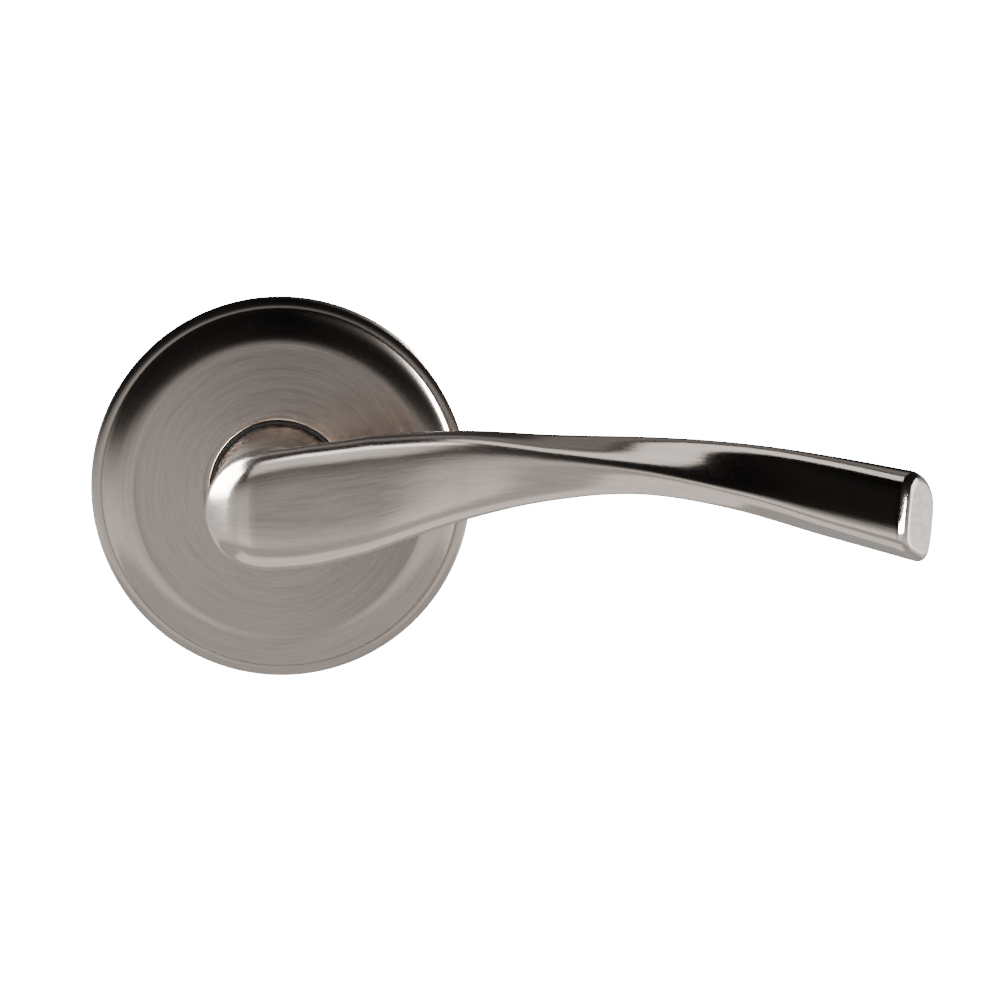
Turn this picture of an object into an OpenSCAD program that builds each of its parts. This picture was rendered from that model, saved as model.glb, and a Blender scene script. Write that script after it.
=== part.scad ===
// Door lever handle on a round rose, outside half of a tubular passage set.
// +Z is up. The door face is the plane y = 0 and the user stands on the -Y side.
// The origin is where the spindle axis meets the door face. The lever points to +X.
// Lengths are in millimetres.

/* [Lever] */
// Distance from the spindle axis to the middle of the lever's end face.
lever_length = 110; // [95:1:140]
// Distance from the door face to the front of the hub.
lever_projection = 56; // [52:0.5:64]
// Radius of the round neck where it meets the hub.
neck_r = 10.4; // [9.8:0.1:12]
// Radius of the neck's foot, where it enters the rose.
neck_foot_r = 11.4; // [10.8:0.1:12.6]
// Depth of the lever front to back at the hub.
hub_depth = 12.8; // [11:0.2:15]
// Height of the lever where the arm leaves the hub.
hub_height = 19.6; // [16.5:0.2:22]
// Radius of the hub's outer corner, seen from above.
hub_corner_r = 8; // [4:0.5:9]
// Radius of the inside corner between neck and arm.
inner_corner_r = 7; // [4:0.5:9]
// Highest point of the arm's centre line above the spindle axis.
arm_rise = 8; // [4:0.5:10]
// Angle the arm's front face has turned downward at the end, in degrees.
arm_twist = 74; // [40:1:85]
// How far the end of the arm stands further forward than the hub.
tip_flare = 5; // [0:0.5:8]
// Angle the end face is turned toward the user, in degrees.
end_face_turn = 20; // [0:1:30]
// Radius of the rounding round the end face.
end_round_r = 1.8; // [0.8:0.2:3]

/* [Rose] */
// Outside radius of the rose.
rose_r = 33.35; // [32.5:0.25:40]
// Height of the rose's face above the door.
rose_height = 8; // [7.5:0.25:11]
// Thickness of the rose's pressed sheet.
rose_wall = 1.2; // [0.8:0.1:1.6]
// Radial width of the raised rim round the rose.
rim_width = 1.9; // [1.4:0.1:2.4]

/* [Door fitting] */
// Radius of the boss that sits in the door's 54 mm bore.
boss_r = 26.6; // [24:0.1:26.8]
// Height of that boss.
boss_height = 3; // [2.5:0.5:6]
// Distance between the two through-bolt posts.
post_spacing = 38.1; // [37.5:0.1:45.7]
// Length of a through-bolt post behind the door face.
post_length = 28; // [22:1:34]
// Outside radius of a through-bolt post.
post_r = 3.3; // [3:0.1:3.6]
// Radius of the tapped hole in a post.
post_bore_r = 2.1; // [1.6:0.1:2.4]
// Side of the square spindle.
spindle_side = 7.94; // [7:0.02:8.2]
// Reach of the spindle behind the door face.
spindle_reach = 50; // [35:1:70]

/* [Bearing and spring] */
// Outside radius of the steel drive hub.
hub_r = 7.93; // [7.6:0.01:9.5]
// Running clearance on radius between turning parts and their holes.
run_gap = 0.07; // [0.03:0.01:0.09]
// Diameter of the return spring's wire.
wire_d = 1.5; // [1.2:0.1:1.6]
// Mean radius of the return spring's coils.
coil_r = 10.6; // [10.4:0.05:12.7]
// Full turns of the return spring between its end turns.
coil_turns = 3; // [2:1:3]

/* [Hidden] */

$fn = 72;
side_gap = 0.3;
hair = 0.05;

plate_t = 3;
flange_t = 1.6;
washer_t = 0.8;
neck_end = plate_t + flange_t + side_gap + washer_t;
neck_wall_end = lever_projection - hub_depth - inner_corner_r;
hub_front = neck_wall_end - 3;
bore_gap = 0.07;
lever_bore_r = hub_r + bore_gap;
hub_hole = spindle_side + 0.16;

set_screw_r = 2.5;
set_screw_y = (neck_end + hub_front) / 2 + 1;
pin_r = 1.25;
pin_y = hub_front - 4;

cup_in_r = coil_r + 3.7;
cup_out_r = cup_in_r + 1.2;
driver_y = 2.2;
driver_t = 2.4;
coil_pitch = wire_d + 0.25;
coil_y = driver_y + driver_t + 0.5 + wire_d / 2;
coil_end_y = coil_y + coil_turns * coil_pitch;
cup_depth = coil_end_y + wire_d / 2 + 1.4;
cover_t = 1.2;
cover_end = cup_depth + cover_t;
rear_washer_t = 0.6;
ring_y = cover_end + side_gap + rear_washer_t;
ring_t = 1.2;
hub_rear = ring_y + ring_t + 1.4;
groove_r = hub_r - 0.9;

plate_r = rose_r - rim_width - rose_wall - 0.7;
snap_y = plate_t - 0.7;
screw_ring_r = cup_out_r + 5.6;
ear_ring_r = cup_out_r + 1.3;
glide_wall = 0.6;
rose_hole_r = neck_foot_r + glide_wall;
glide_r = neck_foot_r + run_gap;
bush_out_r = hub_r + run_gap + 2.4;

// Stations along the arm in equal steps. Each holds the centre's height as a share of
// arm_rise, half the height and half the depth as shares of the hub's, how far the
// front stands forward as a share of tip_flare, and the share of arm_twist.
arm_stations = [
    [0.36, 1.00, 1.00, 0.00, 0.00],
    [0.75, 0.76, 0.94, -0.10, 0.06],
    [0.94, 0.50, 0.87, -0.18, 0.23],
    [1.00, 0.35, 0.83, -0.14, 0.47],
    [0.79, 0.37, 0.89, 0.09, 0.74],
    [0.38, 0.55, 1.03, 0.54, 0.93],
    [-0.07, 0.76, 1.15, 1.00, 1.00]
];
front_power = 4.5;
back_power = 2.4;
ring_points = 40;
fan_rings = 16;
arm_rings = 34;
round_rings = 4;
pivot_x = neck_r + inner_corner_r;
arm_start = pivot_x;

function smooth_step(v) = let (c = min(max(v, 0), 1)) c * c * (3 - 2 * c);
function power(v, p) = sign(v) * pow(abs(v), p);
function last_station() = len(arm_stations) - 1;
function slope(i, k) = i == 0 ? arm_stations[1][k] - arm_stations[0][k]
    : i == last_station() ? arm_stations[i][k] - arm_stations[i - 1][k]
    : (arm_stations[i + 1][k] - arm_stations[i - 1][k]) / 2;

// Value k of the stations at share t of the arm, on a smooth curve through them.
function along(t, k) =
    let (s = t * last_station())
    let (i = min(floor(s), last_station() - 1))
    let (f = s - i)
    arm_stations[i][k] * (1 + 2 * f) * (1 - f) * (1 - f)
    + slope(i, k) * f * (1 - f) * (1 - f)
    + arm_stations[i + 1][k] * f * f * (3 - 2 * f)
    + slope(i + 1, k) * f * f * (f - 1);

// One point of a rounded section with half sizes a and b. It is square at the front,
// where g = 0, and round at the back.
function section_power(g, nf, nb) = nb + (nf - nb) * (1 + cos(g)) / 2;
function section_point(a, b, nf, nb, g) =
    let (p = 2 / section_power(g, nf, nb))
    [a * power(cos(g), p), b * power(sin(g), p)];
function forward(q, turn) = q[0] * cos(turn) + q[1] * sin(turn);
function section_front(a, b, turn) =
    max([for (g = [0:3:357]) forward(section_point(a, b, front_power, back_power, g), turn)]);

// Distance from the elbow's pivot to its outer outline in direction d.
function outer_reach(d) =
    let (ux = -cos(d))
    let (uy = -sin(d))
    let (cx = hub_corner_r - neck_r - pivot_x)
    let (cy = hub_corner_r - lever_projection + neck_wall_end)
    let (side = ux < -0.001 ? (-neck_r - pivot_x) / ux : 1000)
    let (face = uy < -0.001 ? (neck_wall_end - lever_projection) / uy : 1000)
    let (along_c = cx * ux + cy * uy)
    let (off_c = cx * cx + cy * cy - hub_corner_r * hub_corner_r)
    side * uy >= cy ? side : face * ux >= cx ? face
        : along_c + sqrt(max(along_c * along_c - off_c, 0));

// Rings of the elbow: sections that stand on edge and fan about its inside corner.
function elbow_ring(d) =
    let (outer = outer_reach(d))
    let (a = (outer - inner_corner_r) / 2)
    let (m = (outer + inner_corner_r) / 2)
    let (b = neck_r + (hub_height / 2 - neck_r) * min(max((d - 60) / 30, 0), 1))
    let (lift = arm_rise * arm_stations[0][0] * pow(max((d - 38) / 52, 0), 1.1))
    let (nf = 2 + (front_power - 2) * smooth_step((d - 22) / 36))
    let (nb = 2 + (back_power - 2) * smooth_step((d - 30) / 60))
    [for (j = [0:ring_points - 1])
        let (q = section_point(a, b, nf, nb, j * 360 / ring_points))
        [pivot_x - (m + q[0]) * cos(d), -neck_wall_end - (m + q[0]) * sin(d), lift + q[1]]];

// Rings of the arm. inset draws a ring in, for the rounding round the end face.
function arm_ring(x, inset) =
    let (t = (x - arm_start) / (lever_length - arm_start))
    let (turn = arm_twist * along(t, 4))
    let (a = hub_depth / 2 * along(t, 2))
    let (b = hub_height / 2 * along(t, 1))
    let (front = lever_projection + tip_flare * along(t, 3))
    let (mid = section_front(a, b, turn) - front)
    let (skew = tan(end_face_turn) * smooth_step((t - 0.66) / 0.34))
    [for (j = [0:ring_points - 1])
        let (g = j * 360 / ring_points)
        let (q = section_point(a - inset, b - inset, front_power, back_power, g))
        let (out = forward(q, turn))
        [x - out * skew, mid - out,
         arm_rise * along(t, 0) - q[0] * sin(turn) + q[1] * cos(turn)]];

arm_end = lever_length - end_round_r;
lever_rings = concat(
    [[for (p = elbow_ring(0)) [p[0] * (1 - 0.004), p[1], p[2] * (1 - 0.004)]]],
    [for (i = [1:fan_rings]) elbow_ring(90 * i / fan_rings)],
    [for (i = [1:arm_rings]) arm_ring(arm_start + (arm_end - arm_start) * i / arm_rings, 0)],
    [for (i = [1:round_rings])
        let (g = 90 * i / round_rings)
        arm_ring(arm_end + end_round_r * sin(g), end_round_r * (1 - cos(g)) * 0.97)]
);

module skin(rings) {
    m = len(rings[0]);
    n = len(rings);
    points = [for (r = rings) for (p = r) p];
    start_cap = [[for (j = [m - 1:-1:0]) j]];
    end_cap = [[for (j = [0:m - 1]) (n - 1) * m + j]];
    sides = [for (i = [0:n - 2]) for (j = [0:m - 1])
        let (k = (j + 1) % m)
        each [[i * m + j, (i + 1) * m + k, (i + 1) * m + j],
              [i * m + j, i * m + k, (i + 1) * m + k]]];
    polyhedron(points = points, faces = concat(start_cap, sides, end_cap), convexity = 6);
}

// A ring or tube round the spindle axis, from y0 to y1.
module tube_y(y0, y1, r_in, r_out) {
    translate([0, y0, 0])
    rotate([-90, 0, 0])
    difference() {
        cylinder(h = y1 - y0, r = r_out);
        translate([0, 0, -1])
        cylinder(h = y1 - y0 + 2, r = r_in);
    }
}

// A round bar along +Y from y0 to y1 at (x, z).
module bar_y(y0, y1, r, x = 0, z = 0) {
    translate([x, y0, z])
    rotate([-90, 0, 0])
    cylinder(h = y1 - y0, r = r);
}

// Places children at the given angles round the spindle axis, at radius r on the XZ plane.
module around(angles, r) {
    for (g = angles)
        rotate([0, -g, 0])
        translate([r, 0, 0])
        children();
}

module neck() {
    translate([0, -neck_wall_end, 0])
    rotate([-90, 0, 0])
    rotate_extrude()
    polygon([
        [0, 0],
        [neck_r, 0],
        [neck_r, neck_wall_end - neck_end - 18],
        [neck_r + (neck_foot_r - neck_r) * 0.12, neck_wall_end - neck_end - 12],
        [neck_r + (neck_foot_r - neck_r) * 0.55, neck_wall_end - neck_end - 6],
        [neck_foot_r, neck_wall_end - neck_end - 2.6],
        [neck_foot_r, neck_wall_end - neck_end - 0.4],
        [neck_foot_r - 0.4, neck_wall_end - neck_end],
        [lever_bore_r, neck_wall_end - neck_end],
        [lever_bore_r, neck_wall_end - hub_front - 0.5],
        [0, neck_wall_end - hub_front - 0.5]
    ]);
}

module lever() {
    color([0.66, 0.63, 0.58])
    union() {
        difference() {
            neck();
            translate([0, -set_screw_y, -neck_r - 2])
            cylinder(h = neck_r, r = set_screw_r + hair);
        }
        skin(lever_rings);
    }
}

module set_screw() {
    color([0.2, 0.2, 0.21])
    translate([0, -set_screw_y, -neck_r + 0.3])
    difference() {
        union() {
            translate([0, 0, 0.3])
            cylinder(h = 3.1, r = set_screw_r);
            cylinder(h = 0.3, r1 = set_screw_r - 0.3, r2 = set_screw_r);
            translate([0, 0, 3.4])
            cylinder(h = 0.8, r1 = set_screw_r, r2 = set_screw_r - 0.8);
        }
        translate([0, 0, -1])
        cylinder(h = 3, r = 1.45, $fn = 6);
    }
}

module drive_hub() {
    color([0.72, 0.72, 0.7])
    difference() {
        bar_y(-hub_front, hub_rear, hub_r);
        translate([-hub_hole / 2, -hub_front - 1, -hub_hole / 2])
        cube([hub_hole, hub_front + hub_rear + 2, hub_hole]);
        translate([0, -set_screw_y, -hub_r - 1])
        cylinder(h = hub_r, r = set_screw_r + hair);
        translate([0, -pin_y, -hub_r - 1])
        cylinder(h = 2 * hub_r + 2, r = pin_r + hair);
        tube_y(ring_y - hair, ring_y + ring_t + hair, groove_r, hub_r + 2);
        hub_flats();
    }
}

// Two flats on the hub, which carry the spring driver round.
module hub_flats() {
    for (s = [-1, 1])
        translate([s > 0 ? hub_r - 0.8 : -hub_r - 1.2, driver_y - 0.6, -hub_r])
        cube([2, driver_t + 0.8, 2 * hub_r]);
}

module spindle() {
    color([0.62, 0.62, 0.6])
    difference() {
        translate([-spindle_side / 2, -hub_front, -spindle_side / 2])
        cube([spindle_side, hub_front + spindle_reach, spindle_side]);
        translate([0, -pin_y, -spindle_side])
        cylinder(h = 2 * spindle_side, r = pin_r + hair);
        for (g = [0:90:270])
            rotate([0, g, 0])
            translate([spindle_side / 2, spindle_reach, 0])
            rotate([0, 0, 45])
            cube([1.4, 1.4, 2 * spindle_side], center = true);
    }
}

module spindle_pin() {
    color([0.5, 0.5, 0.5])
    translate([0, -pin_y, -hub_r + 0.15])
    difference() {
        cylinder(h = 2 * hub_r - 0.3, r = pin_r);
        translate([0, 0, -1])
        cylinder(h = 2 * hub_r + 2, r = pin_r - 0.4);
    }
}

module wave_washer() {
    steps = 48;
    wave = washer_t / 2 - 0.2;
    y_mid = -neck_end + washer_t / 2;
    rings = [for (i = [0:steps - 1])
        let (g = i * 360 / steps)
        let (y = y_mid + wave * cos(3 * g))
        [for (q = [[lever_bore_r, -0.19], [neck_foot_r - 0.8, -0.19],
                   [neck_foot_r - 0.8, 0.19], [lever_bore_r, 0.19]])
            [q[0] * cos(g), y + q[1], q[0] * sin(g)]]];
    points = [for (r = rings) for (p = r) p];
    faces = [for (i = [0:steps - 1]) for (j = [0:3])
        let (n = (i + 1) % steps)
        let (k = (j + 1) % 4)
        each [[i * 4 + j, n * 4 + k, i * 4 + k], [i * 4 + j, n * 4 + j, n * 4 + k]]];
    color([0.7, 0.68, 0.62])
    intersection() {
        polyhedron(points = points, faces = faces, convexity = 8);
        tube_y(-neck_end - 1, -neck_end + 2, lever_bore_r + 0.1, neck_foot_r - 0.9);
    }
}

module spring_driver() {
    tab_in = coil_r + wire_d / 2 + 0.5;
    tab_out = cup_in_r - 1.1;
    color([0.72, 0.72, 0.72])
    union() {
        difference() {
            bar_y(driver_y, driver_y + driver_t, tab_out);
            intersection() {
                bar_y(driver_y - 1, driver_y + driver_t + 1, hub_r + hair);
                translate([-hub_r + 0.8 - hair, driver_y - 1, -hub_r - 1])
                cube([2 * (hub_r - 0.8 + hair), driver_t + 2, 2 * hub_r + 2]);
            }
        }
        intersection() {
            tube_y(driver_y + 0.5, coil_end_y + wire_d / 2 + 0.5, tab_in, tab_out);
            translate([-2, 0, 0])
            cube([4, cup_depth, cup_in_r]);
        }
    }
}

module thrust_washer() {
    color([0.72, 0.7, 0.66])
    tube_y(cover_end + side_gap, cover_end + side_gap + rear_washer_t, hub_r + 0.1, hub_r + 3);
}

module retaining_ring() {
    color([0.25, 0.25, 0.26])
    difference() {
        tube_y(ring_y, ring_y + ring_t, groove_r + hair, hub_r + 1.7);
        translate([-1.6, ring_y - 1, -hub_r - 4])
        cube([3.2, ring_t + 2, 6]);
    }
}

module rose_cover() {
    crease_r = rose_r - rim_width;
    h = rose_height;
    t = rose_wall;
    in_r = rose_hole_r;
    shoulder_r = 6.4;
    color([0.66, 0.63, 0.58])
    rotate([90, 0, 0])
    rotate_extrude($fn = 144)
    polygon(concat(
        [[rose_r, 0], [rose_r, 0.7], [rose_r - 0.25, 1.5]],
        [for (g = [20:20:80]) [crease_r + (rim_width - 0.25) * cos(g), 1.5 + 0.9 * sin(g)]],
        [[crease_r, 2.3]],
        [for (g = [0:7.5:90])
            [crease_r - shoulder_r * (1 - cos(g)), 2.3 + (h - 0.7 - 2.3) * sin(g)]],
        [[in_r + 0.5, h - 0.1], [in_r, h - 0.5], [in_r, h - t]],
        [for (g = [90:-7.5:0])
            [crease_r - t - (shoulder_r - 0.2) * (1 - cos(g)), 2.0 + (h - t - 0.75 - 2) * sin(g)]],
        [[rose_r - t - 0.1, 1.3], [rose_r - t, 0]]
    ));
}

module glide_ring() {
    color([0.16, 0.16, 0.16])
    union() {
        tube_y(-rose_height + 0.2, -rose_height + rose_wall + 0.3, glide_r, rose_hole_r - 0.05);
        tube_y(-rose_height + rose_wall + 0.3, -rose_height + rose_wall + 1.0, glide_r,
            rose_hole_r + 1.6);
    }
}

module mounting_plate() {
    color([0.7, 0.71, 0.72])
    difference() {
        bar_y(-plate_t, 0, plate_r);
        bar_y(-plate_t - 1, 1, bush_out_r + hair);
        tube_y(-snap_y - 0.45, -snap_y + 0.45, plate_r - 0.3, plate_r + 1);
        around([90, 210, 330], screw_ring_r)
            bar_y(-plate_t - 1, 1, 1.5);
        around([0, 180], post_spacing / 2)
            bar_y(-plate_t - 1, 1, post_r - 0.7 + hair);
        around([45, 135, 225, 315], screw_ring_r + 1)
            bar_y(-plate_t - 1, 1, 3);
    }
}

module rose_snap_ring() {
    color([0.3, 0.3, 0.32])
    rotate([90, 0, 0])
    translate([0, 0, snap_y])
    rotate([0, 0, -83])
    rotate_extrude(angle = 346)
    translate([plate_r + 0.2, 0])
    circle(r = 0.42, $fn = 24);
}

module neck_bushing() {
    color([0.88, 0.87, 0.82])
    union() {
        tube_y(-plate_t - flange_t, -plate_t, hub_r + run_gap, bush_out_r + 1.8);
        tube_y(-plate_t, 1.4, hub_r + run_gap, bush_out_r);
    }
}

module spring_housing() {
    color([0.62, 0.63, 0.64])
    difference() {
        union() {
            bar_y(0, boss_height, boss_r);
            bar_y(0, cup_depth, cup_out_r);
            around([90, 210, 330], ear_ring_r)
                bar_y(cup_depth - 6, cup_depth, 2.4);
        }
        difference() {
            bar_y(1.6, cup_depth + 1, cup_in_r);
            translate([-2, 0, cup_in_r - 0.8])
            cube([4, cup_depth, 2]);
        }
        bar_y(-1, 3, bush_out_r + hair);
        around([90, 210, 330], screw_ring_r)
            bar_y(-1, boss_height + 1, 1.55);
        around([90, 210, 330], ear_ring_r)
            bar_y(cup_depth - 5, cup_depth + 1, 1.05);
        around([0, 180], post_spacing / 2)
            bar_y(-1, cup_depth + 1, post_r + hair);
    }
}

module housing_screws() {
    color([0.75, 0.74, 0.7])
    around([90, 210, 330], screw_ring_r)
        pan_screw(boss_height, boss_height + plate_t - 0.2, 1.45, 2.9, 1.7);
}

module cover_screws() {
    color([0.75, 0.74, 0.7])
    around([90, 210, 330], ear_ring_r)
        pan_screw(cover_end, cover_t + 4.4, 1, 1.9, 1.2);
}

// A pan-head screw that enters toward -Y from a seat at y, with a cross recess.
module pan_screw(y, shank, r, head_r, head_t) {
    difference() {
        union() {
            bar_y(y - shank, y + 0.1, r);
            bar_y(y, y + head_t * 0.6, head_r);
            translate([0, y + head_t * 0.6, 0])
            rotate([-90, 0, 0])
            cylinder(h = head_t * 0.4, r1 = head_r, r2 = head_r * 0.72);
        }
        for (g = [0, 90])
            rotate([0, g, 0])
            translate([-head_r * 0.62, y + head_t * 0.45, -head_r * 0.13])
            cube([head_r * 1.24, head_t, head_r * 0.26]);
    }
}

// The wire's centre line: a leg, a bend onto the coil, the turns, a bend and a leg.
// Each point is [x, y, z] and the coil runs clockwise seen from the door.
function spring_path() =
    let (bend = wire_d * 1.1)
    let (leg_x = 2 + wire_d / 2 + 0.12)
    let (bend_x = leg_x + bend)
    let (bend_z = sqrt(pow(coil_r + bend, 2) - bend_x * bend_x))
    let (g0 = atan2(bend_z, bend_x))
    let (sweep = 360 * (coil_turns + 1) + 2 * g0 - 180)
    let (steps = 20 * (coil_turns + 1))
    concat(
        [[leg_x, coil_y, cup_in_r + 1]],
        [for (i = [0:4])
            let (g = 180 + g0 * i / 5)
            [bend_x + bend * cos(g), coil_y, bend_z + bend * sin(g)]],
        [for (i = [0:steps])
            let (g = g0 - sweep * i / steps)
            [coil_r * cos(g), coil_y + (coil_end_y - coil_y) * i / steps, coil_r * sin(g)]],
        [for (i = [4:-1:0])
            let (g = 180 + g0 * i / 5)
            [-bend_x - bend * cos(g), coil_end_y, bend_z + bend * sin(g)]],
        [[-leg_x, coil_end_y, cup_in_r + 1]]
    );

module return_spring() {
    path = spring_path();
    last = len(path) - 1;
    rings = [for (i = [0:last])
        let (d = path[min(i + 1, last)] - path[max(i - 1, 0)])
        let (t = [d[0], d[2]] / norm([d[0], d[2]]))
        [for (k = [0:9])
            let (w = wire_d / 2 * cos(36 * k))
            path[i] + [-w * t[1], wire_d / 2 * sin(36 * k), w * t[0]]]];
    color([0.55, 0.55, 0.56])
    intersection() {
        skin(rings);
        bar_y(coil_y - wire_d, coil_end_y + wire_d, cup_in_r - 0.4);
    }
}

module spring_cover() {
    color([0.7, 0.7, 0.68])
    difference() {
        union() {
            bar_y(cup_depth, cover_end, cup_out_r);
            around([90, 210, 330], ear_ring_r)
                bar_y(cup_depth, cover_end, 2.4);
        }
        bar_y(cup_depth - 1, cover_end + 1, hub_r + run_gap);
        around([90, 210, 330], ear_ring_r)
            bar_y(cup_depth - 1, cover_end + 1, 1.1);
        around([0, 180], post_spacing / 2)
            bar_y(cup_depth - 1, cover_end + 1, post_r + hair);
    }
}

module post(side) {
    color([0.6, 0.6, 0.58])
    translate([side * post_spacing / 2, 0, 0])
    difference() {
        union() {
            bar_y(0, post_length, post_r);
            bar_y(-plate_t, 0, post_r - 0.7);
        }
        bar_y(2, post_length + 1, post_bore_r);
    }
}

module post_left() {
    post(-1);
}

module post_right() {
    post(1);
}

lever();
set_screw();
drive_hub();
spindle();
spindle_pin();
wave_washer();
spring_driver();
thrust_washer();
retaining_ring();
rose_cover();
glide_ring();
mounting_plate();
rose_snap_ring();
neck_bushing();
spring_housing();
housing_screws();
return_spring();
spring_cover();
cover_screws();
post_left();
post_right();
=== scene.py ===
import math

import bpy
import numpy as np
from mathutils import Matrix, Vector


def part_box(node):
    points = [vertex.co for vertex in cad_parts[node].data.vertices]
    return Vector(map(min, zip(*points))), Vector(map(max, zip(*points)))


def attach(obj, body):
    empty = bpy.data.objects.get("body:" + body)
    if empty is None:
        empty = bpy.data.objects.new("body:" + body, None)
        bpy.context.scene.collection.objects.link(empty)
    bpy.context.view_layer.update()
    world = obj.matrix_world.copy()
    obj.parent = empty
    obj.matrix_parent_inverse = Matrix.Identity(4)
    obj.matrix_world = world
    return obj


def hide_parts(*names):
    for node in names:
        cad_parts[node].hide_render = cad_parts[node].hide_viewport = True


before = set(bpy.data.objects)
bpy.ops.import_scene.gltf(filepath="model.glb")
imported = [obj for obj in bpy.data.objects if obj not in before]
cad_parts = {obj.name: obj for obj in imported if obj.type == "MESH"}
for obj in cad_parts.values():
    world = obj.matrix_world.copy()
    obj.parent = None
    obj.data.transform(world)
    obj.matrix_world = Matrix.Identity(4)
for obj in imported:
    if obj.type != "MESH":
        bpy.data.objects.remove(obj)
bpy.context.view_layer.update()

MM = 0.001


# ---------------------------------------------------------------- camera
VIEW_AZIMUTH, VIEW_ELEVATION, VIEW_DISTANCE = 1.0, 5.0, 1.2
VIEW_TARGET = (0.03848, -0.002, -0.00223)
SENSOR_WIDTH, LENS = 36.0, 246.7


def place_camera():
    cam_data = bpy.data.cameras.new("camera")
    cam = bpy.data.objects.new("camera", cam_data)
    bpy.context.scene.collection.objects.link(cam)
    az, el = math.radians(VIEW_AZIMUTH), math.radians(VIEW_ELEVATION)
    back = Vector((math.sin(az) * math.cos(el), -math.cos(az) * math.cos(el), math.sin(el)))
    cam.location = Vector(VIEW_TARGET) + back * VIEW_DISTANCE
    cam.rotation_euler = (-back).to_track_quat("-Z", "Y").to_euler()
    cam_data.sensor_width = SENSOR_WIDTH
    cam_data.lens = LENS
    cam_data.clip_start = 0.01
    cam_data.clip_end = 20
    bpy.context.scene.camera = cam


# ---------------------------------------------------------------- materials
def new_material(name):
    m = bpy.data.materials.new(name)
    m.use_nodes = True
    m.node_tree.nodes.clear()
    out = m.node_tree.nodes.new("ShaderNodeOutputMaterial")
    p = m.node_tree.nodes.new("ShaderNodeBsdfPrincipled")
    m.node_tree.links.new(p.outputs[0], out.inputs[0])
    return m, m.node_tree, p


def math_node(nt, op, a, b=None):
    n = nt.nodes.new("ShaderNodeMath")
    n.operation = op
    for i, v in enumerate((a, b)):
        if v is None:
            continue
        if isinstance(v, (int, float)):
            n.inputs[i].default_value = v
        else:
            nt.links.new(v, n.inputs[i])
    return n.outputs[0]


def ramp(nt, fac, stops):
    n = nt.nodes.new("ShaderNodeValToRGB")
    e = n.color_ramp.elements
    while len(e) < len(stops):
        e.new(0.5)
    for s, (pos, col) in zip(e, stops):
        s.position = pos
        s.color = (*col, 1.0) if len(col) == 3 else col
    nt.links.new(fac, n.inputs[0])
    return n.outputs[0]


def mapped(nt, coords, scale):
    n = nt.nodes.new("ShaderNodeMapping")
    n.inputs["Scale"].default_value = scale
    nt.links.new(coords, n.inputs["Vector"])
    return n.outputs[0]


def noise(nt, vector, scale, detail=3.0, rough=0.55):
    n = nt.nodes.new("ShaderNodeTexNoise")
    n.inputs["Scale"].default_value = scale
    n.inputs["Detail"].default_value = detail
    n.inputs["Roughness"].default_value = rough
    nt.links.new(vector, n.inputs["Vector"])
    return n.outputs["Fac"]


def bump(nt, height, strength, distance):
    n = nt.nodes.new("ShaderNodeBump")
    n.inputs["Strength"].default_value = strength
    n.inputs["Distance"].default_value = distance
    nt.links.new(height, n.inputs["Height"])
    return n.outputs[0]


def remap(nt, value, lo, hi):
    n = nt.nodes.new("ShaderNodeMapRange")
    n.inputs["To Min"].default_value = lo
    n.inputs["To Max"].default_value = hi
    nt.links.new(value, n.inputs["Value"])
    return n.outputs[0]


# ---------------------------------------------------------------- mesh code
def make_object(name, verts, faces, uvs=None, smooth=True, angle=None):
    me = bpy.data.meshes.new(name)
    me.from_pydata([tuple(v) for v in verts], [], faces)
    me.update()
    ob = bpy.data.objects.new(name, me)
    bpy.context.scene.collection.objects.link(ob)
    if uvs is not None:
        layer = me.uv_layers.new(name="flow")
        flat = np.array([c for f in uvs for c in f], np.float32).ravel()
        layer.data.foreach_set("uv", flat)
    me.polygons.foreach_set("use_smooth", [smooth] * len(me.polygons))
    if angle is not None:
        me.set_sharp_from_angle(angle=math.radians(angle))
    me.validate()
    return ob


# ---------------------------------------------------------------- lever form
# Millimetres and degrees, the same sizes as the CAD lever's.
LENGTH, PROJ, NECK_R, FOOT_R = 110.0, 56.0, 10.4, 11.4
HUB_D, HUB_H, CORNER_R, INNER_R = 12.8, 19.6, 8.0, 7.0
RISE, TWIST, FLARE, END_TURN, END_ROUND = 8.0, 74.0, 5.0, 20.0, 1.8
NECK_END, BORE_R = 5.7, 8.0
WALL_END = PROJ - HUB_D - INNER_R
PIVOT_X = NECK_R + INNER_R
FRONT_P, BACK_P = 4.5, 2.4
SCREW_HOLE_SPAN = (-14.0, -6.0)
# Shares of the rise, hub height, hub depth, flare and twist, evenly spaced along the arm.
STATIONS = [
    (0.36, 1.00, 1.00, 0.00, 0.00),
    (0.75, 0.76, 0.94, -0.10, 0.06),
    (0.94, 0.50, 0.87, -0.18, 0.23),
    (1.00, 0.35, 0.83, -0.14, 0.47),
    (0.79, 0.37, 0.89, 0.09, 0.74),
    (0.38, 0.55, 1.03, 0.54, 0.93),
    (-0.07, 0.76, 1.15, 1.00, 1.00),
]
AROUND = 128


def smooth_step(v):
    c = min(max(v, 0.0), 1.0)
    return c * c * (3 - 2 * c)


def slope(i, k):
    last = len(STATIONS) - 1
    if i == 0:
        # The front leaves the hub flat, so flare and twist start without a kink.
        return 0.0 if k >= 3 else STATIONS[1][k] - STATIONS[0][k]
    if i == last:
        return STATIONS[last][k] - STATIONS[last - 1][k]
    return (STATIONS[i + 1][k] - STATIONS[i - 1][k]) / 2


def along(t, k):
    s = t * (len(STATIONS) - 1)
    i = min(int(math.floor(s)), len(STATIONS) - 2)
    f = s - i
    return (STATIONS[i][k] * (1 + 2 * f) * (1 - f) ** 2 + slope(i, k) * f * (1 - f) ** 2
            + STATIONS[i + 1][k] * f * f * (3 - 2 * f) + slope(i + 1, k) * f * f * (f - 1))


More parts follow.
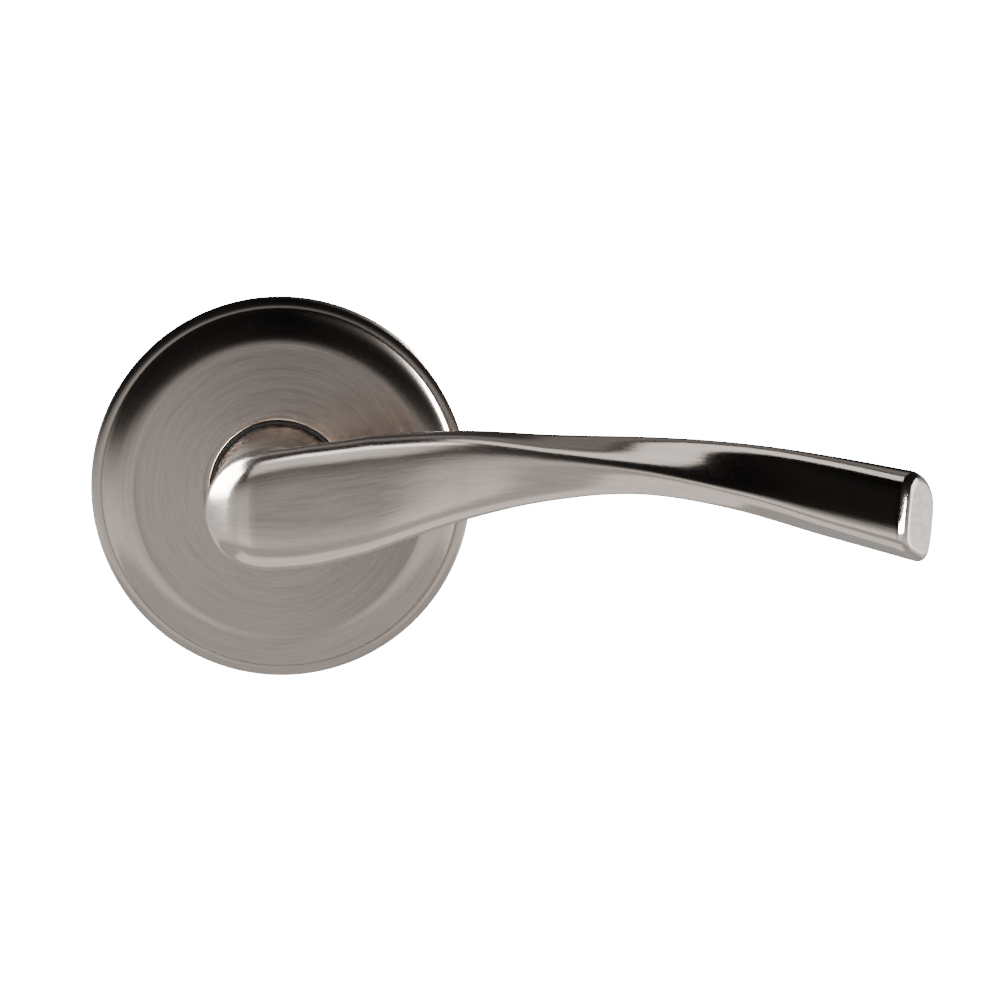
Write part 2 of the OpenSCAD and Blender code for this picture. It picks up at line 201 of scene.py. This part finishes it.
# The seam of each ring is at the back, where g = 180 degrees.
G = np.radians(180 + np.arange(AROUND) * 360.0 / AROUND)


def section(a, b, nf, nb, g=G):
    n = nb + (nf - nb) * (1 + np.cos(g)) / 2
    c, s = np.cos(g), np.sin(g)
    return a * np.sign(c) * np.abs(c) ** (2 / n), b * np.sign(s) * np.abs(s) ** (2 / n)


def outer_reach(d):
    ux, uy = -math.cos(d), -math.sin(d)
    cx, cy = CORNER_R - NECK_R - PIVOT_X, CORNER_R - PROJ + WALL_END
    side = (-NECK_R - PIVOT_X) / ux if ux < -0.001 else 1000
    face = (WALL_END - PROJ) / uy if uy < -0.001 else 1000
    mid = cx * ux + cy * uy
    off = cx * cx + cy * cy - CORNER_R ** 2
    if side * uy >= cy:
        return side
    if face * ux >= cx:
        return face
    return mid + math.sqrt(max(mid * mid - off, 0))


def elbow_ring(deg):
    d = math.radians(deg)
    outer = outer_reach(d)
    a, m = (outer - INNER_R) / 2, (outer + INNER_R) / 2
    b = NECK_R + (HUB_H / 2 - NECK_R) * min(max((deg - 60) / 30, 0), 1)
    lift = RISE * STATIONS[0][0] * max((deg - 38) / 52, 0) ** 1.1
    nf = 2 + (FRONT_P - 2) * smooth_step((deg - 22) / 36)
    nb = 2 + (BACK_P - 2) * smooth_step((deg - 30) / 60)
    u, v = section(a, b, nf, nb)
    return np.stack([PIVOT_X - (m + u) * math.cos(d), -WALL_END - (m + u) * math.sin(d),
                     lift + v], -1)


def arm_ring(x, inset=0.0):
    t = (x - PIVOT_X) / (LENGTH - PIVOT_X)
    turn = math.radians(TWIST * along(t, 4))
    a, b = HUB_D / 2 * along(t, 2), HUB_H / 2 * along(t, 1)
    front = PROJ + FLARE * along(t, 3)
    fu, fv = section(a, b, FRONT_P, BACK_P, np.radians(np.arange(0, 360, 3)))
    mid = float(np.max(fu * math.cos(turn) + fv * math.sin(turn))) - front
    skew = math.tan(math.radians(END_TURN)) * smooth_step((t - 0.66) / 0.34)
    u, v = section(a - inset, b - inset, FRONT_P, BACK_P)
    out = u * math.cos(turn) + v * math.sin(turn)
    z = RISE * along(t, 0) - u * math.sin(turn) + v * math.cos(turn)
    return np.stack([x - out * skew, mid - out, z], -1)


def neck_ring(y, r):
    return np.stack([-r * np.cos(G), np.full(AROUND, y), r * np.sin(G)], -1)


def lever_rings():
    foot = -NECK_END
    rings = [neck_ring(foot - 20, 0.02), neck_ring(foot - 20, BORE_R - 0.3),
             neck_ring(foot - 19.7, BORE_R), neck_ring(foot, BORE_R),
             neck_ring(foot, FOOT_R - 0.4)]
    rings += [neck_ring(foot - 0.4 + 0.4 * math.cos(g), FOOT_R - 0.4 + 0.4 * math.sin(g))
              for g in (0.5, 1.05, 1.57)]
    for k in range(1, 25):
        y = foot - 0.4 - (WALL_END - NECK_END - 0.4) * k / 25
        away = min(max((-y - 8.3) / 14.0, 0), 1)
        rings.append(neck_ring(y, NECK_R + (FOOT_R - NECK_R) * (1 - away) ** 2))
    rings += [elbow_ring(d) for d in np.linspace(0, 90, 61)]
    arm_end = LENGTH - END_ROUND
    rings += [arm_ring(x) for x in np.linspace(PIVOT_X, arm_end, 150)[1:]]
    for k in range(1, 13):
        g = math.pi / 2 * k / 12
        rings.append(arm_ring(arm_end + END_ROUND * math.sin(g), END_ROUND * (1 - math.cos(g))))
    last = rings[-1]
    mid = last.mean(0)
    rings += [mid + (last - mid) * s for s in (0.97, 0.6, 0.02)]
    return np.array(rings)


def make_lever():
    rings = lever_rings()
    n, m = len(rings), AROUND
    mids = rings.mean(1)
    run = np.concatenate([[0], np.cumsum(np.linalg.norm(np.diff(mids, axis=0), axis=1))])
    gap = np.linalg.norm(np.roll(rings, -1, axis=1) - rings, axis=2)
    gap = np.maximum(gap, 0.02)
    faces, uvs = [], []
    for i in range(n - 1):
        for j in range(m):
            k = (j + 1) % m
            faces.append((i * m + j, i * m + k, (i + 1) * m + k, (i + 1) * m + j))
            u0, u1 = j / m, (j + 1) / m
            uvs.append([(u0, run[i] / 100), (u1, run[i] / 100),
                        (u1, run[i + 1] / 100), (u0, run[i + 1] / 100)])
    faces.append(tuple(range(m - 1, -1, -1)))
    uvs.append([(0.5, 0.0)] * m)
    faces.append(tuple((n - 1) * m + j for j in range(m)))
    uvs.append([(0.5, run[-1] / 100)] * m)
    ob = make_object("lever_form", rings.reshape(-1, 3) * MM, faces, uvs)
    cut_screw_hole(ob)
    ob.data.set_sharp_from_angle(angle=math.radians(48))
    return ob


def cut_screw_hole(ob):
    low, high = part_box("set_screw")
    x, y = (low[0] + high[0]) / 2, (low[1] + high[1]) / 2
    r = (high[0] - low[0]) / 2 + 0.05 * MM
    verts, faces = [], []
    steps = 48
    for z in SCREW_HOLE_SPAN:
        for j in range(steps):
            g = 2 * math.pi * j / steps
            verts.append((x + r * math.cos(g), y + r * math.sin(g), z * MM))
    for j in range(steps):
        k = (j + 1) % steps
        faces.append((j, k, steps + k, steps + j))
    faces.append(tuple(range(steps - 1, -1, -1)))
    faces.append(tuple(range(steps, 2 * steps)))
    tool = make_object("screw_hole_tool", verts, faces, smooth=False)
    mod = ob.modifiers.new("hole", "BOOLEAN")
    mod.operation, mod.solver, mod.object = "DIFFERENCE", "EXACT", tool
    deps = bpy.context.evaluated_depsgraph_get()
    cut = bpy.data.meshes.new_from_object(ob.evaluated_get(deps))
    ob.modifiers.clear()
    ob.data = cut
    bpy.data.objects.remove(tool)


def turn_to_end_material(ob):
    """The flat end face is ground across, so it takes the second material."""
    g = math.radians(END_TURN)
    facing = Vector((math.cos(g), -math.sin(g), 0.0))
    for poly in ob.data.polygons:
        at_end = poly.center.x > 0.95 * LENGTH * MM and poly.normal.dot(facing) > 0.985
        poly.material_index = 1 if at_end else 0


# ---------------------------------------------------------------- rose form
ROSE_R, ROSE_H, WALL, RIM, HOLE_R = 33.35, 8.0, 1.2, 1.9, 12.0


def rose_profile():
    """(radius, height) from the foot of the rim over the face to the back of the sheet."""
    crease, shoulder = ROSE_R - RIM, 6.4
    p = [(ROSE_R, 0.0), (ROSE_R, 0.25), (ROSE_R, 0.55), (ROSE_R - 0.02, 0.8),
         (ROSE_R - 0.08, 1.1), (ROSE_R - 0.22, 1.45)]
    for k in range(1, 9):
        g = math.radians(8 + 80 * k / 8)
        p.append((crease + (RIM - 0.25) * math.cos(g), 1.5 + 0.9 * math.sin(g)))
    p += [(crease + 0.02, 2.33), (crease - 0.03, 2.36)]
    for k in range(1, 41):
        g = math.radians(90 * k / 40)
        p.append((crease - shoulder * (1 - math.cos(g)), 2.3 + (ROSE_H - 3.0) * math.sin(g)))
    r_top = crease - shoulder
    for k in range(1, 16):
        r = r_top + (HOLE_R + 0.5 - r_top) * k / 15
        p.append((r, ROSE_H - 0.7 + 0.6 * k / 15))
    p += [(HOLE_R + 0.2, ROSE_H - 0.2), (HOLE_R, ROSE_H - 0.5), (HOLE_R, ROSE_H - WALL)]
    for k in range(0, 21):
        g = math.radians(90 - 90 * k / 20)
        p.append((crease - WALL - (shoulder - 0.2) * (1 - math.cos(g)),
                  2.0 + (ROSE_H - WALL - 2.75) * math.sin(g)))
    p += [(ROSE_R - WALL - 0.1, 1.3), (ROSE_R - WALL, 0.0)]
    return p


def make_rose():
    prof = rose_profile()
    steps = 288
    verts, faces = [], []
    for r, h in prof:
        for j in range(steps):
            g = 2 * math.pi * j / steps
            verts.append((r * math.cos(g) * MM, -h * MM, r * math.sin(g) * MM))
    n = len(prof)
    for i in range(n):
        ii = (i + 1) % n
        for j in range(steps):
            k = (j + 1) % steps
            faces.append((i * steps + j, ii * steps + j, ii * steps + k, i * steps + k))
    return make_object("rose_form", verts, faces, angle=38)


# ---------------------------------------------------------------- finishes
NICKEL = (0.67, 0.585, 0.525)
# The lever is brushed at the hub and smoother beyond this stretch, in metres from its axis.
SMOOTHER_FROM, SMOOTHER_TO, SMOOTHER_SHARE = 0.045, 0.08, 0.5


def brushed_lever():
    m, nt, p = new_material("satin_nickel_lever")
    uv = nt.nodes.new("ShaderNodeUVMap")
    uv.uv_map = "flow"
    obj = nt.nodes.new("ShaderNodeTexCoord").outputs["Object"]
    fine = noise(nt, mapped(nt, uv.outputs[0], (260, 14, 1)), 1.0, 4, 0.65)
    broad = noise(nt, mapped(nt, uv.outputs[0], (46, 5, 1)), 1.0, 2, 0.5)
    cloud = noise(nt, obj, 38, 3, 0.5)
    scratch = sparse_marks(nt, obj)
    streak = math_node(nt, "ADD", math_node(nt, "MULTIPLY", fine, 0.65),
                       math_node(nt, "MULTIPLY", broad, 0.35))
    tint = ramp(nt, streak, [(0.3, (0.57, 0.495, 0.44)), (0.5, NICKEL), (0.72, (0.75, 0.67, 0.605))])
    nt.links.new(tint, p.inputs["Base Color"])
    p.inputs["Metallic"].default_value = 1.0
    p.inputs["Anisotropic"].default_value = 0.4
    rough = math_node(nt, "ADD", remap(nt, fine, 0.12, 0.21),
                      math_node(nt, "MULTIPLY", cloud, 0.05))
    rough = math_node(nt, "ADD", rough, math_node(nt, "MULTIPLY", scratch, 0.25))
    sep = nt.nodes.new("ShaderNodeSeparateXYZ")
    nt.links.new(obj, sep.inputs[0])
    polish = nt.nodes.new("ShaderNodeMapRange")
    for key, value in (("From Min", SMOOTHER_FROM), ("From Max", SMOOTHER_TO),
                       ("To Min", 1.0), ("To Max", SMOOTHER_SHARE)):
        polish.inputs[key].default_value = value
    nt.links.new(sep.outputs[0], polish.inputs["Value"])
    rough = math_node(nt, "MULTIPLY", rough, polish.outputs[0])
    nt.links.new(rough, p.inputs["Roughness"])
    tan = nt.nodes.new("ShaderNodeTangent")
    tan.direction_type = "UV_MAP"
    tan.uv_map = "flow"
    nt.links.new(tan.outputs[0], p.inputs["Tangent"])
    height = math_node(nt, "SUBTRACT", streak, math_node(nt, "MULTIPLY", scratch, 1.2))
    nt.links.new(bump(nt, height, 0.28, 0.00005), p.inputs["Normal"])
    return m


def sparse_marks(nt, obj):
    """A few short handling scratches and specks, 1 on the mark and 0 elsewhere."""
    cells = nt.nodes.new("ShaderNodeTexVoronoi")
    cells.feature = "F1"
    cells.inputs["Scale"].default_value = 150
    nt.links.new(mapped(nt, obj, (0.45, 1.0, 1.3)), cells.inputs["Vector"])
    near = math_node(nt, "LESS_THAN", cells.outputs["Distance"], 0.035)
    zone = noise(nt, obj, 45, 2, 0.5)
    return math_node(nt, "MULTIPLY", near, math_node(nt, "GREATER_THAN", zone, 0.64))


def round_marks(nt, across, x, z, r, turn):
    """Coordinates that change fast across the turning marks and slowly round them."""
    comb = nt.nodes.new("ShaderNodeCombineXYZ")
    nt.links.new(across, comb.inputs[0])
    for i, v in ((1, x), (2, z)):
        nt.links.new(math_node(nt, "MULTIPLY", math_node(nt, "DIVIDE", v, r), turn),
                     comb.inputs[i])
    return comb.outputs[0]


def turned_rose():
    m, nt, p = new_material("satin_nickel_rose")
    obj = nt.nodes.new("ShaderNodeTexCoord").outputs["Object"]
    sep = nt.nodes.new("ShaderNodeSeparateXYZ")
    nt.links.new(obj, sep.inputs[0])
    x, y, z = sep.outputs
    r = math_node(nt, "SQRT", math_node(nt, "ADD", math_node(nt, "MULTIPLY", x, x),
                                        math_node(nt, "MULTIPLY", z, z)))
    across = math_node(nt, "ADD", math_node(nt, "MULTIPLY", r, 5200),
                       math_node(nt, "MULTIPLY", y, 3000))
    fine = noise(nt, round_marks(nt, across, x, z, r, 2.6), 1.0, 3, 0.6)
    wide = math_node(nt, "MULTIPLY", r, 900)
    broad = noise(nt, round_marks(nt, wide, x, z, r, 1.4), 1.0, 3, 0.6)
    cloud = noise(nt, obj, 30, 3, 0.5)
    streak = math_node(nt, "ADD", math_node(nt, "MULTIPLY", fine, 0.55),
                       math_node(nt, "MULTIPLY", broad, 0.45))
    tint = ramp(nt, streak, [(0.3, (0.56, 0.485, 0.43)), (0.5, NICKEL), (0.72, (0.73, 0.65, 0.585))])
    nt.links.new(tint, p.inputs["Base Color"])
    p.inputs["Metallic"].default_value = 1.0
    p.inputs["Anisotropic"].default_value = 0.6
    rough = math_node(nt, "ADD", remap(nt, streak, 0.14, 0.23),
                      math_node(nt, "MULTIPLY", cloud, 0.05))
    nt.links.new(rough, p.inputs["Roughness"])
    tan = nt.nodes.new("ShaderNodeTangent")
    tan.direction_type = "RADIAL"
    tan.axis = "Y"
    nt.links.new(tan.outputs[0], p.inputs["Tangent"])
    nt.links.new(bump(nt, streak, 0.2, 0.00004), p.inputs["Normal"])
    return m


def worked_metal(name, color, rough, axis_scale, metallic=1.0, depth=0.15):
    """Plated, oiled, cast or ground metal: streaks, blotches and fine pits."""
    m, nt, p = new_material(name)
    obj = nt.nodes.new("ShaderNodeTexCoord").outputs["Object"]
    streak = noise(nt, mapped(nt, obj, axis_scale), 1.0, 4, 0.6)
    blotch = noise(nt, obj, 160, 4, 0.6)
    both = math_node(nt, "ADD", math_node(nt, "MULTIPLY", streak, 0.6),
                     math_node(nt, "MULTIPLY", blotch, 0.4))
    dark = tuple(c * 0.78 for c in color)
    light = tuple(min(c * 1.12, 1) for c in color)
    nt.links.new(ramp(nt, both, [(0.3, dark), (0.52, color), (0.74, light)]),
                 p.inputs["Base Color"])
    p.inputs["Metallic"].default_value = metallic
    nt.links.new(remap(nt, both, rough * 0.75, rough * 1.3), p.inputs["Roughness"])
    nt.links.new(bump(nt, both, depth, 0.00008), p.inputs["Normal"])
    return m


def moulded(name, color, rough):
    m, nt, p = new_material(name)
    obj = nt.nodes.new("ShaderNodeTexCoord").outputs["Object"]
    grain = noise(nt, obj, 2600, 3, 0.6)
    flow = noise(nt, obj, 90, 3, 0.5)
    dark = tuple(c * 0.86 for c in color)
    nt.links.new(ramp(nt, flow, [(0.35, dark), (0.65, color)]), p.inputs["Base Color"])
    nt.links.new(remap(nt, grain, rough * 0.8, rough * 1.2), p.inputs["Roughness"])
    nt.links.new(bump(nt, grain, 0.12, 0.00005), p.inputs["Normal"])
    return m


# ---------------------------------------------------------------- light and stage
def make_world():
    """A pale room with its ceiling in shadow; seen straight on it is white paper."""
    w = bpy.data.worlds.new("studio")
    bpy.context.scene.world = w
    w.use_nodes = True
    nt = w.node_tree
    nt.nodes.clear()
    out = nt.nodes.new("ShaderNodeOutputWorld")
    direction = nt.nodes.new("ShaderNodeTexCoord").outputs["Generated"]
    sep = nt.nodes.new("ShaderNodeSeparateXYZ")
    nt.links.new(direction, sep.inputs[0])
    up = math_node(nt, "ADD", math_node(nt, "MULTIPLY", sep.outputs[2], 0.5), 0.5)
    level = ramp(nt, up, [(0.0, (0.42,) * 3), (0.30, (0.38,) * 3), (0.40, (0.31,) * 3),
                          (0.46, (0.25,) * 3), (0.52, (0.16,) * 3), (0.56, (0.11,) * 3),
                          (0.60, (0.035,) * 3), (0.63, (0.007,) * 3), (1.0, (0.004,) * 3)])
    side = math_node(nt, "MULTIPLY", sep.outputs[0], sep.outputs[0])
    gain = math_node(nt, "ADD", math_node(nt, "MINIMUM", math_node(
        nt, "MULTIPLY", side, 46.0), 1.5), 1.0)
    room = nt.nodes.new("ShaderNodeBackground")
    nt.links.new(level, room.inputs[0])
    nt.links.new(gain, room.inputs[1])
    paper = nt.nodes.new("ShaderNodeBackground")
    paper.inputs[0].default_value = (1.0, 1.0, 1.0, 1)
    paper.inputs[1].default_value = 24.0
    seen = nt.nodes.new("ShaderNodeLightPath").outputs["Is Camera Ray"]
    mix = nt.nodes.new("ShaderNodeMixShader")
    nt.links.new(seen, mix.inputs[0])
    nt.links.new(room.outputs[0], mix.inputs[1])
    nt.links.new(paper.outputs[0], mix.inputs[2])
    nt.links.new(mix.outputs[0], out.inputs[0])


# Points on the lever that the lights aim at.
HUB = (0.03, -0.045, 0.003)
TIP = (0.095, -0.05, 0.003)
RIDGE = (0.004, -0.056, 0.01)


def softbox(name, azimuth, elevation, distance, wide, tall, power, lit, aim=HUB):
    """A rectangular soft light on one group only, aimed by its bearing from the user's side."""
    az, el = math.radians(azimuth), math.radians(elevation)
    out = Vector((math.sin(az) * math.cos(el), -math.cos(az) * math.cos(el), math.sin(el)))
    data = bpy.data.lights.new(name, "AREA")
    data.shape = "RECTANGLE"
    data.size, data.size_y = wide, tall
    data.energy = power
    ob = bpy.data.objects.new(name, data)
    ob.location = Vector(aim) + out * distance
    ob.rotation_euler = (-out).to_track_quat("-Z", "Y").to_euler()
    bpy.context.scene.collection.objects.link(ob)
    ob.light_linking.receiver_collection = lit


def make_lights(lever_ob, rose_ob, floor_ob):
    lever_only = bpy.data.collections.new("lever_lit")
    lever_only.objects.link(lever_ob)
    rose_only = bpy.data.collections.new("rose_lit")
    rose_only.objects.link(rose_ob)
    fittings = bpy.data.collections.new("fittings_lit")
    for name in FINISH:
        fittings.objects.link(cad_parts[name])
    floor_only = bpy.data.collections.new("floor_lit")
    floor_only.objects.link(floor_ob)
    softbox("window_left", -103, 26, 1.0, 1.75, 0.78, 105, lever_only)
    softbox("strip_right", 48, 7, 1.0, 0.8, 0.24, 34, lever_only)
    softbox("card_hub", 0, 68, 0.1, 0.06, 0.03, 0.019, lever_only, RIDGE)
    softbox("card_face", -6, 40, 0.1, 0.065, 0.075, 0.014, lever_only, RIDGE)
    softbox("card_end", 122, 0, 1.0, 0.5, 0.5, 2.2, lever_only)
    softbox("card_top", 180, 86, 0.16, 0.13, 0.08, 0.042, lever_only, TIP)
    softbox("card_back", 178, 48, 1.0, 0.9, 0.5, 0.28, lever_only)
    softbox("card_low", 0, -86, 0.28, 0.5, 0.34, 0.30, lever_only)
    softbox("fill_front", 0, -27, 1.0, 1.5, 0.7, 0.8, lever_only)
    softbox("card_rose", 134, 16, 1.0, 0.7, 0.34, 50, rose_only)
    softbox("floor_lamp", 0, 89, 1.5, 2.0, 2.0, 26, floor_only)
    softbox("fittings_back", 150, 45, 1.0, 1.2, 1.2, 14, fittings)
    softbox("fittings_side", -90, 30, 1.0, 1.0, 1.0, 8, fittings)


def make_floor():
    m, nt, p = new_material("pale_floor")
    obj = nt.nodes.new("ShaderNodeTexCoord").outputs["Object"]
    soft = noise(nt, obj, 6, 3, 0.5)
    nt.links.new(ramp(nt, soft, [(0.3, (0.86, 0.86, 0.855)), (0.7, (0.9, 0.9, 0.895))]),
                 p.inputs["Base Color"])
    p.inputs["Roughness"].default_value = 0.9
    n, r, z = 96, 0.8, -0.35
    verts = [(0.03 + r * math.cos(2 * math.pi * j / n), r * math.sin(2 * math.pi * j / n), z)
             for j in range(n)]
    ob = make_object("floor", verts, [tuple(range(n))], smooth=False)
    ob.data.materials.append(m)
    return ob


place_camera()
make_world()
floor = make_floor()

lever = make_lever()
lever.data.materials.clear()
lever.data.materials.append(brushed_lever())
lever.data.materials.append(
    worked_metal("satin_nickel_end", NICKEL, 0.22, (240, 240, 900), depth=0.1))
turn_to_end_material(lever)
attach(lever, "lever_body")
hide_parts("lever")

rose = make_rose()
rose.data.materials.append(turned_rose())
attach(rose, "rose_body")
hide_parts("rose_cover")

PLATED = worked_metal("zinc_plate", (0.62, 0.63, 0.62), 0.34, (60, 900, 60))
CAST = worked_metal("zinc_cast", (0.5, 0.51, 0.52), 0.5, (320, 320, 320), depth=0.3)
OXIDE = worked_metal("black_oxide", (0.055, 0.055, 0.06), 0.4, (500, 500, 500))
WIRE = worked_metal("drawn_wire", (0.42, 0.42, 0.43), 0.3, (900, 900, 900))
ACETAL = moulded("acetal", (0.82, 0.81, 0.76), 0.45)
NYLON = moulded("nylon", (0.03, 0.03, 0.03), 0.5)
FINISH = {
    "set_screw": OXIDE, "retaining_ring": OXIDE, "drive_hub": PLATED, "spindle": PLATED,
    "spring_driver": PLATED, "thrust_washer": PLATED, "mounting_plate": PLATED,
    "housing_screws": PLATED, "spring_cover": PLATED, "cover_screws": PLATED,
    "post_left": PLATED, "post_right": PLATED, "spindle_pin": WIRE, "wave_washer": WIRE,
    "rose_snap_ring": WIRE, "return_spring": WIRE, "spring_housing": CAST,
    "neck_bushing": ACETAL, "glide_ring": NYLON,
}
for name, material in FINISH.items():
    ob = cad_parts[name]
    ob.data.materials.clear()
    ob.data.materials.append(material)

make_lights(lever, rose, floor)
